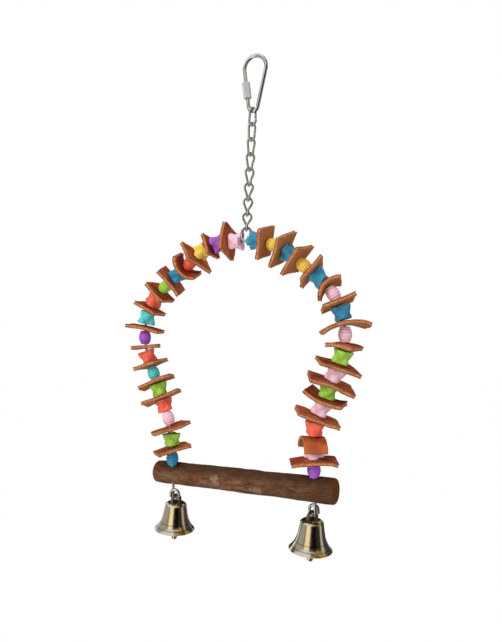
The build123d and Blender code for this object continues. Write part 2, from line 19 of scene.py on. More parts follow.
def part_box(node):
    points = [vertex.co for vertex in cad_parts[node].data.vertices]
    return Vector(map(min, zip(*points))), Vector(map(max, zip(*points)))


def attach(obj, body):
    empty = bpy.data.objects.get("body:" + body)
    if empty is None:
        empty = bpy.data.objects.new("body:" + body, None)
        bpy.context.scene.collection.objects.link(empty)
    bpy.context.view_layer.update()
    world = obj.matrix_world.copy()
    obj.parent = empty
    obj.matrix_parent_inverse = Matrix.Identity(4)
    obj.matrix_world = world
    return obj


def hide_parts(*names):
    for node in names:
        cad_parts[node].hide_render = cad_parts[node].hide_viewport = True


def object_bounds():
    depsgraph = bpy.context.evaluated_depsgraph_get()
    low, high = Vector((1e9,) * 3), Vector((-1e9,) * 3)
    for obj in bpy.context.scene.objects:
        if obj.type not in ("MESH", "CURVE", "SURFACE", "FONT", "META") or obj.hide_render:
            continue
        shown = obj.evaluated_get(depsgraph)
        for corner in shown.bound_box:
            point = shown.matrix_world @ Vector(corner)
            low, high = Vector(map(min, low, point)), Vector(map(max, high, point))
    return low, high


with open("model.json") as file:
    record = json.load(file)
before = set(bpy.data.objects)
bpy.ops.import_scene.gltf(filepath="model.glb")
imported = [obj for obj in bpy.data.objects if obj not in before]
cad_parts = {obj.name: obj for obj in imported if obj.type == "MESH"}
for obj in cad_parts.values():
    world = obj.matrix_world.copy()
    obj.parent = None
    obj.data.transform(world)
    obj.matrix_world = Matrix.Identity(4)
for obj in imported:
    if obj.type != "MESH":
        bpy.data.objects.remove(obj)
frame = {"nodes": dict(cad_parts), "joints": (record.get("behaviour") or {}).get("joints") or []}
cad_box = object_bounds()
scene = bpy.context.scene
MM = 0.001

# %% [markdown]
# ## The camera
#
# The photograph looks at the swing from a little to its right, almost level, and the camera was tipped a few
# degrees to one side. A point of the object whose place in the picture is known, the top of the wire's eye,
# ties the camera down: it stands back from that point by the depth, and moves sideways and up until the point
# falls on its pixel.

# %% Camera
PHOTO_WIDTH, PHOTO_HEIGHT = 502, 642
FOCAL_PIXELS = 566.0
AZIMUTH, PITCH, ROLL = radians(24.5), radians(1.7), radians(3.1)
EYE_TOP = Vector((0, 0, -143.1 * MM))
EYE_TOP_PIXEL = (246.7, 226.5)
EYE_TOP_DEPTH = 485 * MM
SENSOR = 36.0
NEAREST_SEEN = 0.01


def aim_camera():
    """Makes the camera and puts the top of the wire's eye on its pixel."""
    level_right = Vector((cos(AZIMUTH), sin(AZIMUTH), 0))
    ahead = Vector((-sin(AZIMUTH) * cos(PITCH), cos(AZIMUTH) * cos(PITCH), -sin(PITCH)))
    level_up = level_right.cross(ahead)
    right = level_right * cos(ROLL) + level_up * sin(ROLL)
    up = level_up * cos(ROLL) - level_right * sin(ROLL)
    metres_per_pixel = EYE_TOP_DEPTH / FOCAL_PIXELS
    across = (EYE_TOP_PIXEL[0] - PHOTO_WIDTH / 2) * metres_per_pixel
    above = (PHOTO_HEIGHT / 2 - EYE_TOP_PIXEL[1]) * metres_per_pixel
    place = EYE_TOP - ahead * EYE_TOP_DEPTH - right * across - up * above
    data = bpy.data.cameras.new("photo_camera")
    data.sensor_width = SENSOR
    data.lens = SENSOR * FOCAL_PIXELS / PHOTO_HEIGHT
    data.clip_start = NEAREST_SEEN
    camera = bpy.data.objects.new("photo_camera", data)
    camera.matrix_world = Matrix.Translation(place) @ Matrix((right, up, -ahead)).transposed().to_4x4()
    scene.collection.objects.link(camera)
    scene.camera = camera
    return camera


camera = aim_camera()
print("camera at", [round(v, 3) for v in camera.matrix_world.translation], "lens", round(camera.data.lens, 2))

# %% [markdown]
# ## Node helpers
#
# Every finish below is a small tree of shader nodes. One function adds a node, sets its properties and fills
# its inputs, each with a value or with a link from another node. The short functions after it add the kinds
# of node that most finishes need. Colours are written as the sRGB codes that a paint program shows, and one
# function turns them into the linear values that the shaders work in.

# %% Helpers for colours and nodes


def srgb(code):
    """A hex colour such as #8E4A28 as linear red, green, blue and alpha."""
    channels = [int(code[start:start + 2], 16) / 255 for start in (1, 3, 5)]
    linear = [v / 12.92 if v <= 0.04045 else ((v + 0.055) / 1.055) ** 2.4 for v in channels]
    return (*linear, 1.0)


def fill(tree, node, inputs):
    """Fills a node's inputs, keyed by name or index, each with a value or another node's output socket."""
    for key, value in inputs.items():
        if isinstance(value, bpy.types.NodeSocket):
            tree.links.new(value, node.inputs[key])
        else:
            node.inputs[key].default_value = value


def add(tree, kind, inputs=None, **settings):
    """Adds a node, sets its properties and fills its inputs."""
    node = tree.nodes.new(kind)
    for name, value in settings.items():
        setattr(node, name, value)
    fill(tree, node, inputs or {})
    return node


def blend(tree, share, first, second):
    """A colour that goes from the first to the second as the share goes from 0 to 1."""
    return add(tree, "ShaderNodeMix", {0: share, 6: first, 7: second}, data_type="RGBA").outputs[2]


def speckle(tree, place, size, detail, roughness=0.5):
    """Noise in patches of about a size."""
    return add(tree, "ShaderNodeTexNoise", {"Vector": place, "Scale": 1 / size, "Detail": detail,
                                            "Roughness": roughness}).outputs["Fac"]


def remap(tree, value, start, end, low=0.0, high=1.0, **settings):
    """Carries a value from the range of start to end over to the range of low to high."""
    return add(tree, "ShaderNodeMapRange", {"Value": value, "From Min": start, "From Max": end,
                                            "To Min": low, "To Max": high}, **settings).outputs[0]


def calculate(tree, operation, *values):
    """The result of one calculation with values or sockets."""
    return add(tree, "ShaderNodeMath", dict(enumerate(values)), operation=operation).outputs[0]


def bumps(tree, height, strength, distance):
    """A normal that makes a pattern look raised."""
    return add(tree, "ShaderNodeBump", {"Height": height, "Strength": strength,
                                        "Distance": distance}).outputs[0]


def bare_material(name):
    """A material with an empty tree."""
    material = bpy.data.materials.new(name)
    material.use_nodes = True
    material.node_tree.nodes.clear()
    return material, material.node_tree


def new_material(name):
    """A material with a plain shader: the material, its tree, the shader and the object coordinates."""
    material, tree = bare_material(name)
    shader = add(tree, "ShaderNodeBsdfPrincipled")
    add(tree, "ShaderNodeOutputMaterial", {"Surface": shader.outputs[0]})
    place = add(tree, "ShaderNodeTexCoord").outputs["Object"]
    return material, tree, shader, place


print("helpers ready")

# %% [markdown]
# ## Light and background
#
# The object was photographed on white. A large soft lamp stands in front on the left, a weaker one on the
# right and one above. The world gives the shadows a little light. Rays that come straight from the camera, or
# off metal, see plain white instead, so the background is white without more light falling on the object.
# Reflections don't see the lamps, which would burn round white spots into the metal, but the cards of the
# next step.

# %% World, floor and lamps
WORLD_STRENGTH = 0.56
FLOOR_DROP = 0.25
FLOOR_SIZE = 12.0
FLOOR_WHITE = 0.995
LAMP_TARGET = Vector((0, 0, -0.27))
# Name, place, size, watts and colour
LAMPS = [
    ("key_lamp", (-0.55, -1.25, 0.35), 0.7, 13.5, "#FFF8EE"),
    ("fill_lamp", (1.15, -0.75, 0.0), 0.8, 3.0, "#FFFAF2"),
    ("top_lamp", (0.1, 0.25, 0.9), 0.6, 4.0, "#FFFFFF"),
]


def white_for_the_eye(tree, share=1.0):
    """A factor that is the share for camera, glossy and transmission rays, and 0 for the rest."""
    path = add(tree, "ShaderNodeLightPath").outputs
    either = calculate(tree, "MAXIMUM", path["Is Camera Ray"], path["Is Glossy Ray"])
    any_of = calculate(tree, "MAXIMUM", either, path["Is Transmission Ray"])
    return calculate(tree, "MULTIPLY", any_of, share)


def make_world():
    """A world that lights the object dimly and is white to the eye."""
    world = bpy.data.worlds.new("white_studio")
    world.use_nodes = True
    tree = world.node_tree
    tree.nodes.clear()
    glow = add(tree, "ShaderNodeBackground", {"Color": srgb("#F6F7FA"), "Strength": WORLD_STRENGTH})
    white = add(tree, "ShaderNodeBackground", {"Color": srgb("#FFFFFF"), "Strength": 1.0})
    mix = add(tree, "ShaderNodeMixShader",
              {0: white_for_the_eye(tree), 1: glow.outputs[0], 2: white.outputs[0]})
    add(tree, "ShaderNodeOutputWorld", {"Surface": mix.outputs[0]})
    scene.world = world


def make_floor():
    """A white floor under the swing that still shows a trace of its shadow."""
    bpy.ops.mesh.primitive_plane_add(size=FLOOR_SIZE, location=(0, 0, cad_box[0][2] - FLOOR_DROP))
    floor = bpy.context.object
    floor.name = "floor"
    material, tree = bare_material("matt_white_floor")
    matt = add(tree, "ShaderNodeBsdfPrincipled", {"Base Color": srgb("#F5F5F3"), "Roughness": 0.9})
    white = add(tree, "ShaderNodeEmission", {"Color": srgb("#FFFFFF"), "Strength": 1.0})
    mix = add(tree, "ShaderNodeMixShader",
              {0: white_for_the_eye(tree, FLOOR_WHITE), 1: matt.outputs[0], 2: white.outputs[0]})
    add(tree, "ShaderNodeOutputMaterial", {"Surface": mix.outputs[0]})
    floor.data.materials.append(material)


def add_lamp(name, place, size, watts, colour):
    """A round soft lamp that shines at the middle of the swing."""
    data = bpy.data.lights.new(name, "AREA")
    data.shape = "DISK"
    data.size = size
    data.energy = watts
    data.color = srgb(colour)[:3]
    lamp = bpy.data.objects.new(name, data)
    aim = LAMP_TARGET - Vector(place)
    lamp.matrix_world = Matrix.Translation(place) @ aim.to_track_quat("-Z", "Y").to_matrix().to_4x4()
    lamp.visible_glossy = False
    scene.collection.objects.link(lamp)


scene.view_settings.view_transform = "Standard"
make_world()
make_floor()
for row in LAMPS:
    add_lamp(*row)

# %% [markdown]
# ## Cards for the metal to reflect
#
# Polished metal has no look of its own: it shows what stands round it. The bells in the photograph carry a
# cream stripe, a black band, golden flares and grey flanks. Cards that are patches of a large dome round the
# swing, seen by reflections alone, give the metal those bands. Low down they fold onto the floor. They cast
# no shadow and the camera never sees them.

# %% Reflection cards
CARD_DISTANCE = 1.6
CARD_MIDDLE = -0.3
CARD_CLEARANCE = 2 * MM
CARD_ABOVE_FLOOR = CARD_MIDDLE - cad_box[0][2] + FLOOR_DROP - CARD_CLEARANCE
CARD_STEPS = 12
# An aim that sinks less than this is taken as level
LEAST_SINK = 0.01
# Name, colour, strength, then where the card starts and ends: degrees to the right of the camera, degrees up
CARDS = [
    ("grey_card", "#BAB7AF", 1.0, -132, -62, -80, 34),
    ("pale_gold_card", "#A98545", 1.0, -62, -50, -80, 34),
    ("cream_card", "#FFF0D2", 1.35, -50, -14, -80, 34),
    ("umber_card", "#5C4A2E", 1.0, -14, -2, -80, 40),
    ("black_card", "#0A0A09", 1.0, -2, 36, -80, 40),
    ("dim_card", "#38362F", 1.0, 36, 70, -80, 30),
    ("strip_card", "#D9D6CC", 1.0, 70, 90, -80, 30),
    ("shade_card", "#4E4B45", 1.0, 90, 146, -80, 30),
    ("back_card", "#24221F", 1.0, 150, 210, -25, 70),
    ("gold_card", "#C9A250", 1.0, 36, 146, 30, 46),
    ("dark_gold_card", "#4A3A1C", 1.0, 0, 146, 46, 54),
    ("high_gold_card", "#C9A75C", 1.0, 0, 146, 54, 80),
]


def card_mesh(name, first, last, low, high):
    """A patch of the dome, folded onto the floor where the dome would pass below it."""
    mesh = bmesh.new()
    rows = []
    for up in np.linspace(radians(low), radians(high), CARD_STEPS + 1):
        row = []
        for turn in AZIMUTH + np.linspace(radians(first), radians(last), CARD_STEPS + 1):
            aim = Vector((sin(turn) * cos(up), -cos(turn) * cos(up), sin(up)))
            reach = min(CARD_DISTANCE, CARD_ABOVE_FLOOR / max(-aim.z, LEAST_SINK))
            row.append(mesh.verts.new(aim * reach + Vector((0, 0, CARD_MIDDLE))))
        rows.append(row)
    for lower, upper in zip(rows, rows[1:]):
        for step in range(CARD_STEPS):
            mesh.faces.new((lower[step], lower[step + 1], upper[step + 1], upper[step]))
    data = bpy.data.meshes.new(name)
    mesh.to_mesh(data)
    mesh.free()
    return data


def make_card(name, colour, strength, first, last, low, high):
    """A glowing card that only reflections see."""
    data = card_mesh(name, first, last, low, high)
    card = bpy.data.objects.new(name, data)
    scene.collection.objects.link(card)
    material, tree = bare_material(name)
    glow = add(tree, "ShaderNodeEmission", {"Color": srgb(colour), "Strength": strength})
    add(tree, "ShaderNodeOutputMaterial", {"Surface": glow.outputs[0]})
    data.materials.append(material)
    card.visible_camera = False
    card.visible_diffuse = False
    card.visible_shadow = False
    card.visible_transmission = False


for row in CARDS:
    make_card(*row)
print("cards", len(CARDS))

# %% [markdown]
# ## Zinc-plated steel and nickel
#
# The quick link, chain and arch wire are steel with a bright zinc plating, a little cloudy from the bath and
# from handling. The nut's plating is dull. The bells are spun from sheet and nickel plated, so they are
# slightly warmer, with faint rings from the spinning and two lines of painted shade above the lip, where the
# real bell has a bead. The straps that hang the bells are dull, with a brownish painted reflection.

# %% Metal finishes
# Heights above the lip of the lines of painted shade, where the real bell has a bead
SHADE_LINE_HEIGHTS = (2.6 * MM, 6.8 * MM)
SHADE_LINE_HALF_WIDTH = 0.7 * MM
SHADE_LINE_DARKNESS = 0.65
RING_STRETCH = (0.04, 0.04, 1.0)


def zinc_plated_steel(name, smooth, cloudy, metallic):
    """Steel with blue-white zinc plating: bright, with cloudy patches that scatter more light."""
    material, tree, shader, place = new_material(name)
    cloud = speckle(tree, place, 4 * MM, 3.0)
    grit = speckle(tree, place, 0.5 * MM, 2.0)
    fill(tree, shader, {
        "Metallic": metallic,
        "Base Color": blend(tree, cloud, srgb("#AEB6C2"), srgb("#DBE1EA")),
        "Roughness": remap(tree, cloud, 0.0, 1.0, smooth, cloudy),
        "Normal": bumps(tree, grit, 0.05, 0.05 * MM),
    })
    return material


def painted_shade_line(tree, height, middle):
    """1 in a narrow band round the bell at a height, and 0 elsewhere."""
    away = calculate(tree, "SUBTRACT", height, middle)
    distance = calculate(tree, "ABSOLUTE", away)
    return remap(tree, distance, 0.0, SHADE_LINE_HALF_WIDTH, 1.0, 0.0, interpolation_type="SMOOTHSTEP")


def spun_nickel(name, lip):
    """Nickel plating over spun sheet: a warm mirror with fine rings, smears, and painted shade lines above
    the lip.
    """
    material, tree, shader, place = new_material(name)
    height = add(tree, "ShaderNodeSeparateXYZ", {"Vector": place}).outputs["Z"]
    # Painted shade: two dark bands above the lip stand in for the shading of the bead on the real bell
    lines = [painted_shade_line(tree, height, lip + above) for above in SHADE_LINE_HEIGHTS]
    shade = calculate(tree, "MULTIPLY", calculate(tree, "MAXIMUM", *lines), SHADE_LINE_DARKNESS)
    flat = add(tree, "ShaderNodeMapping", {"Vector": place, "Scale": RING_STRETCH}).outputs[0]
    rings = speckle(tree, flat, 0.6 * MM, 2.0)
    smear = speckle(tree, place, 9 * MM, 4.0)
    plate = blend(tree, smear, srgb("#BDB5A4"), srgb("#DCD5C6"))
    fill(tree, shader, {
        "Metallic": 1.0,
        "Base Color": blend(tree, shade, plate, srgb("#5A4A2E")),
        "Roughness": remap(tree, smear, 0.0, 1.0, 0.12, 0.24),
        "Normal": bumps(tree, rings, 0.08, 0.05 * MM),
    })
    return material


def strap_with_painted_reflection():
    """Nickel-plated strip, dull and uneven, with a brownish painted reflection in its colour."""
    material, tree, shader, place = new_material("nickel_strap_painted_reflection")
    patchy = speckle(tree, place, 1.8 * MM, 4.0)
    fill(tree, shader, {
        "Metallic": 1.0,
        # Painted reflection: the brown colour stands in for the dark brown surroundings that the strap
        # reflects
        "Base Color": blend(tree, patchy, srgb("#5F4A35"), srgb("#A3937C")),
        "Roughness": remap(tree, patchy, 0.0, 1.0, 0.45, 0.25),
    })
    return material


def finish_node(node, material):
    """Gives a CAD node that stays in view its finish."""
    slots = frame["nodes"][node].data.materials
    slots.clear()
    slots.append(material)


zinc = zinc_plated_steel("zinc_plated_wire", 0.05, 0.16, 1.0)
dull_zinc = zinc_plated_steel("zinc_plated_nut", 0.4, 0.6, 0.45)
left_nickel = spun_nickel("spun_nickel_plate_left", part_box("bell_shell_left")[0].z)
right_nickel = spun_nickel("spun_nickel_plate_right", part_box("bell_shell_right")[0].z)
strap = strap_with_painted_reflection()
# How node names start, and their finish. A later row overrules an earlier one
METAL_FINISHES = {
    "quick_link": zinc,
    "quick_link_nut": dull_zinc,
    "chain": zinc,
    "arch": zinc,
    "bell_shell_left": left_nickel,
    "bell_shell_right": right_nickel,
    "clapper": right_nickel,
    "bell_ear": strap,
}
finished = set()
for start, finish in METAL_FINISHES.items():
    for node in [n for n in frame["nodes"] if n.startswith(start)]:
        finish_node(node, finish)
        finished.add(node)
print("metal nodes", len(finished))

# %% [markdown]
# ## Rebuilding a soft-edged piece
#
# A CAD solid has knife-sharp edges. Moulded plastic, punched leather and bark don't. A copy of the solid is
# rebuilt as an even skin of small faces, and smoothing then rubs its edges round. The copy stays exactly
# where the solid is, so the finished piece needs no placing.

# %% Rebuild helpers
SAME_POINT = 0.001 * MM
RUB_FACTOR = 0.5


def plain_mesh(piece):
    """Replaces a piece's mesh by the result of its modifiers, and drops them."""
    bpy.context.view_layer.update()
    shaped = piece.evaluated_get(bpy.context.evaluated_depsgraph_get())
    mesh = bpy.data.meshes.new_from_object(shaped)
    piece.modifiers.clear()
    piece.data = mesh


def softened_copy(name, node, voxel, rubs):
    """A copy of a CAD node, rebuilt in faces of about the voxel's size and rubbed round."""
    mesh = frame["nodes"][node].data.copy()
    merged = bmesh.new()
    merged.from_mesh(mesh)
    bmesh.ops.remove_doubles(merged, verts=merged.verts, dist=SAME_POINT)
    merged.to_mesh(mesh)
    merged.free()
    mesh.materials.clear()
    piece = bpy.data.objects.new(name, mesh)
    scene.collection.objects.link(piece)
    skin = piece.modifiers.new("even skin", "REMESH")
    skin.mode = "VOXEL"
    skin.voxel_size = voxel
    rub = piece.modifiers.new("rubbed edges", "SMOOTH")
    rub.factor = RUB_FACTOR
    rub.iterations = rubs
    plain_mesh(piece)
    piece.data.shade_smooth()
    return piece


def dress(piece, node, body, material):
    """Puts a finished piece in place of its CAD node."""
    piece.data.materials.append(material)
    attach(piece, body)
    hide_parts(node)


def per_point(mesh, what):
    """Three numbers for each point of a mesh: its place, co, or its normal."""
    numbers = np.empty(len(mesh.vertices) * 3)
    mesh.vertices.foreach_get(what, numbers)
    return numbers.reshape(-1, 3)


def edge_ends(mesh):
    """The numbers of the points at both ends of every edge."""
    ends = np.empty(len(mesh.edges) * 2, np.int64)
    mesh.edges.foreach_get("vertices", ends)
    return ends.reshape(-1, 2).T


def move_points(mesh, points):
    """Gives the points of a mesh new places."""
    mesh.vertices.foreach_set("co", points.reshape(-1))
    mesh.update()


def paint(mesh, name, values):
    """Keeps a number per point on the mesh, for a material to read."""
    layer = mesh.attributes.new(name, "FLOAT", "POINT")
    layer.data.foreach_set("value", np.asarray(values, np.float32))


def painted(tree, name):
    """Reads a number that is kept on the mesh."""
    return add(tree, "ShaderNodeAttribute", attribute_name=name).outputs["Fac"]


def clamp(value, low=0.0, high=1.0):
    """The value, kept between low and high."""
    return min(max(value, low), high)


print("rebuild helpers ready")

# %% [markdown]
# ## Beads
#
# The beads are moulded polystyrene: bright plastic with a soft gloss, which light enters a little way. Each
# is a body of its own, because it spins on the wire. Seven colours share one recipe.

# %% Bead plastic and beads
BEAD_SKIN = 0.3 * MM
BARREL_RUBS = 3
LOBED_RUBS = 14
BARREL_REACH = 6.5 * MM
DEEP_SHARE = 0.86
BEAD_COLOURS = {
    "pink": "#FCCDE2",
    "coral": "#F0644C",
    "yellow": "#F3D254",
    "blue": "#268EBA",
    "teal": "#50D0D0",
    "green": "#A2DA4A",
    "purple": "#A657D0",
}


def bead_plastic(colour, code):
    """Moulded polystyrene: glossy where it is clean, duller where birds and hands have rubbed it."""
    material, tree, shader, place = new_material(f"moulded_polystyrene_{colour}")
    red, green, blue, _ = srgb(code)
    deep = (red * DEEP_SHARE, green * DEEP_SHARE, blue * DEEP_SHARE, 1.0)
    cloud = speckle(tree, place, 6 * MM, 2.0)
    rub = speckle(tree, place, 2.5 * MM, 3.0)
    fill(tree, shader, {
        "IOR": 1.59,
        "Subsurface Weight": 0.12,
        "Subsurface Radius": (1.0, 1.0, 1.0),
        "Subsurface Scale": 1.5 * MM,
        "Base Color": blend(tree, cloud, deep, srgb(code)),
        "Roughness": remap(tree, rub, 0.0, 1.0, 0.3, 0.45),
        "Normal": bumps(tree, rub, 0.05, 0.1 * MM),
    })
    return material


def bead_rubs(node):
    """Barrel beads keep their ribs. Lobed beads, which reach further from the wire, are rubbed rounder."""
    spin = [j for j in frame["joints"] if j["child"] == node][0]
    offsets = per_point(frame["nodes"][node].data, "co") - np.array(spin["pos_m"])
    reach = np.linalg.norm(np.cross(offsets, np.array(spin["axis"])), axis=1).max()
    return BARREL_RUBS if reach < BARREL_REACH else LOBED_RUBS


plastics = {colour: bead_plastic(colour, code) for colour, code in BEAD_COLOURS.items()}
bead_nodes = sorted(n for n in frame["nodes"] if n.startswith("bead_"))
barrels = 0
for node in bead_nodes:
    colour = node.split("_")[-1]
    rubs = bead_rubs(node)
    barrels += rubs == BARREL_RUBS
    bead = softened_copy("moulded_" + node, node, BEAD_SKIN, rubs)
    dress(bead, node, node, plastics[colour])
print("beads", len(bead_nodes), "of them barrels", barrels)

# %% [markdown]
# ## Leather chips
#
# The chips are punched from thick vegetable-tanned leather: a smooth red-brown grain side, a hairy flesh side
# and paler cut edges. In the frame each chip is a solid, and chips that follow each other share a node. A ray
# sent into the chip from every point tells a cut edge, where it travels far, from a face, where it comes out
# after the leather's thickness. The flesh side is the one that faces along the wire.

# %% Edges and faces of the chips
CHIP_SKIN = 0.5 * MM
CHIP_RUBS = 3
RAY_START = 0.2 * MM
RAY_LENGTH = 40 * MM
# A ray that goes further than this through the leather started on a cut edge
CUT_EDGE_DEPTH = 5.44 * MM
BEADS_ON_WIRE = [(Vector(j["pos_m"]), Vector(j["axis"])) for j in frame["joints"] if j["child"] in bead_nodes]


def wire_near(point):
    """A point and the heading of the wire, from the two beads nearest to a point."""
    ranked = sorted(BEADS_ON_WIRE, key=lambda bead: (bead[0] - point).length_squared)
    (first, first_axis), (second, second_axis) = ranked[:2]
    share = (first - point).length / ((first - point).length + (second - point).length)
    return first.lerp(second, share), (first_axis + second_axis).normalized()


def loose_chips(mesh):
    """The point numbers of each separate chip in a mesh."""
    group = np.arange(len(mesh.vertices))
    a, b = edge_ends(mesh)
    while True:
        low = np.minimum(group[a], group[b])
        before = group.copy()
        np.minimum.at(group, a, low)
        np.minimum.at(group, b, low)
        group = group[group]
        if np.array_equal(before, group):
            break
    return [np.flatnonzero(group == label) for label in np.unique(group)]


def cut_edges(mesh, points, normals):
    """1 at the points on a cut edge and 0 on the faces."""
    tree = BVHTree.FromPolygons([Vector(p) for p in points], [p.vertices for p in mesh.polygons])
    cut = np.zeros(len(points))
    for index, (point, normal) in enumerate(zip(points, normals)):
        inward = -Vector(normal)
        hit = tree.ray_cast(Vector(point) + inward * RAY_START, inward, RAY_LENGTH)
        if hit[0] is None or hit[3] > CUT_EDGE_DEPTH:
            cut[index] = 1.0
    return cut


def spread_out(mesh, values, rounds):
    """Averages a number per point with its neighbours."""
    a, b = edge_ends(mesh)
    for _ in range(rounds):
        total, count = values.copy(), np.ones(len(values))
        np.add.at(total, a, values[b])
        np.add.at(total, b, values[a])
        np.add.at(count, a, 1)
        np.add.at(count, b, 1)
        values = total / count
    return values


print("beads that tell where the wire runs", len(BEADS_ON_WIRE))

# %% Shape of the chips
# A chip's rim starts this far from the wire and comes to full strength over the width
RIM_START = 8 * MM
RIM_WIDTH = 7 * MM
WARP_SIZE = 16 * MM
WANDER_SIZE = 5 * MM
FRAY_SIZE = 1.4 * MM
# How far each of them moves the surface, in millimetres
WARP_HEIGHT = 1.5
FACE_SWELL, FACE_FRAY = 0.22, 0.08
EDGE_WANDER, EDGE_FRAY, EDGE_WEAR = 0.9, 0.4, 0.4
# Steps that give every chip its own depth of dye and its own noise
NODE_DYE, CHIP_DYE = 0.37, 0.61
NODE_SEED, CHIP_SEED = 10, 3
EDGE_ROUNDS = 2


def shape_chip(points, normals, flesh, cut, rows, seed):
    """Swells one chip towards its rim, warps it, frays its outline, and notes which way each point faces."""
    middle, heading = wire_near(Vector(points[rows].mean(0)))
    for row in rows:
        point, outward = Vector(points[row]), Vector(normals[row])
        offset = point - middle
        reach = (offset - heading * offset.dot(heading)).length
        flesh[row] = outward.dot(heading)
        rim = clamp((reach - RIM_START) / RIM_WIDTH)
        warp = noise.noise(point / WARP_SIZE + Vector((seed, 0, 0)))
        wander = noise.noise(point / WANDER_SIZE + Vector((0, seed, 0)))
        fray = noise.noise(point / FRAY_SIZE)
        face_lift = (FACE_SWELL * rim + FACE_FRAY * fray) * (1 - cut[row])
        edge_lift = (EDGE_WANDER * wander + EDGE_FRAY * fray - EDGE_WEAR) * cut[row]
        bent = point + heading * (warp * rim * WARP_HEIGHT * MM)
        points[row] = bent + outward * ((face_lift + edge_lift) * MM)


def leather_piece(node, seed):
    """The chips of one node, shaped, with their edges, flesh side and dye painted on."""
    piece = softened_copy("punched_" + node, node, CHIP_SKIN, CHIP_RUBS)
    mesh = piece.data
    points, normals = per_point(mesh, "co"), per_point(mesh, "normal")
    cut = cut_edges(mesh, points, normals)
    flesh, dyed = np.zeros((2, len(points)))
    for count, rows in enumerate(loose_chips(mesh)):
        dyed[rows] = (seed * NODE_DYE + count * CHIP_DYE) % 1.0
        shape_chip(points, normals, flesh, cut, rows, NODE_SEED * seed + CHIP_SEED * count)
    move_points(mesh, points)
    cut = spread_out(mesh, cut, EDGE_ROUNDS)
    paint(mesh, "cut_edge", cut)
    paint(mesh, "dyed", dyed)
    paint(mesh, "flesh_side", np.clip(flesh * (1 - cut), 0, 1))
    return piece


leather_nodes = sorted(n for n in frame["nodes"] if n.startswith("leather_"))
chips = [leather_piece(node, seed) for seed, node in enumerate(leather_nodes, 1)]
print("leather nodes", len(leather_nodes))

# %% Leather finish


def punched_leather():
    """Vegetable-tanned leather: a creased grain side, a rough napped flesh side, pale fibrous edges."""
    material, tree, shader, place = new_material("vegetable_tanned_leather")
    cut, flesh, dyed = [painted(tree, name) for name in ("cut_edge", "flesh_side", "dyed")]
    fibre = speckle(tree, place, 0.9 * MM, 5.0, 0.65)
    fleck = remap(tree, fibre, 0.35, 0.65)
    dye = remap(tree, speckle(tree, place, 11 * MM, 4.0), 0.35, 0.65)
    pale = blend(tree, dye, srgb("#9C4527"), srgb("#CF7343"))
    deep = blend(tree, dye, srgb("#762A14"), srgb("#AE4E26"))
    nap = blend(tree, fleck, srgb("#8A4E2A"), srgb("#CE8E5A"))
    rim = blend(tree, fleck, srgb("#8E4E2B"), srgb("#DBA273"))
    faces = blend(tree, flesh, blend(tree, dyed, pale, deep), nap)
    plain = blend(tree, cut, faces, rim)
    # The corners between a face and a cut edge are burnished dark: cut times one minus cut peaks there
    corner = calculate(tree, "MULTIPLY", cut, calculate(tree, "SUBTRACT", 1.0, cut))
    burnish = remap(tree, corner, 0.0, 0.25, 0.0, 0.4)
    crease = add(tree, "ShaderNodeTexVoronoi", {"Vector": place, "Scale": 1 / (1.1 * MM)},
                 feature="DISTANCE_TO_EDGE")
    valley = remap(tree, crease.outputs["Distance"], 0.0, 0.25)
    rough = calculate(tree, "MAXIMUM", flesh, cut)
    relief = add(tree, "ShaderNodeMix", {0: rough, 2: valley, 3: fibre}).outputs[0]
    fill(tree, shader, {
        "Base Color": blend(tree, burnish, plain, srgb("#5A2A16")),
        "Roughness": remap(tree, rough, 0.0, 1.0, 0.5, 0.9),
        "Specular IOR Level": 0.18,
        "Normal": bumps(tree, relief, 0.5, 0.3 * MM),
    })
    return material


leather = punched_leather()
for piece, node in zip(chips, leather_nodes):
    dress(piece, node, "swing", leather)
print("leather faces", sum(len(piece.data.polygons) for piece in chips))

# %% [markdown]
# ## Leather fibres
#
# Torn fibres stand out of the flesh side and of the cut edges and make the chips look hairy. There are
# thousands of them, spread over a surface, which is a task for Geometry Nodes: the tree scatters points where
# the leather is rough, stands a thin tapering fibre on each and leans it at random. A fibre is drawn thicker
# than life at its root, so that it shows.

# %% Fibres by Geometry Nodes
FIBRES_PER_SQUARE_MM = 0.55
FIBRE_LENGTH = 1.1 * MM
FIBRE_RADIUS = 0.07 * MM
FIBRE_LEAN = 1.1
SHORTEST_FIBRE, LONGEST_FIBRE = 0.4, 1.2
FIBRE_INPUTS = {
    "Leather": "NodeSocketGeometry",
    "Fibres per square metre": "NodeSocketFloat",
    "Fibre length": "NodeSocketFloat",
    "Fibre radius": "NodeSocketFloat",
    "Seed": "NodeSocketInt",
}


def torn_fibre():
    """Single collagen fibres: brown to straw coloured, matt, a little different from one to the next."""
    material, tree, shader, place = new_material("torn_leather_fibre")
    shade = speckle(tree, place, 1.5 * MM, 2.0)
    fill(tree, shader, {
        "Base Color": blend(tree, shade, srgb("#7A4526"), srgb("#CFA374")),
        "Roughness": 0.9,
        "Specular IOR Level": 0.1,
    })
    return material


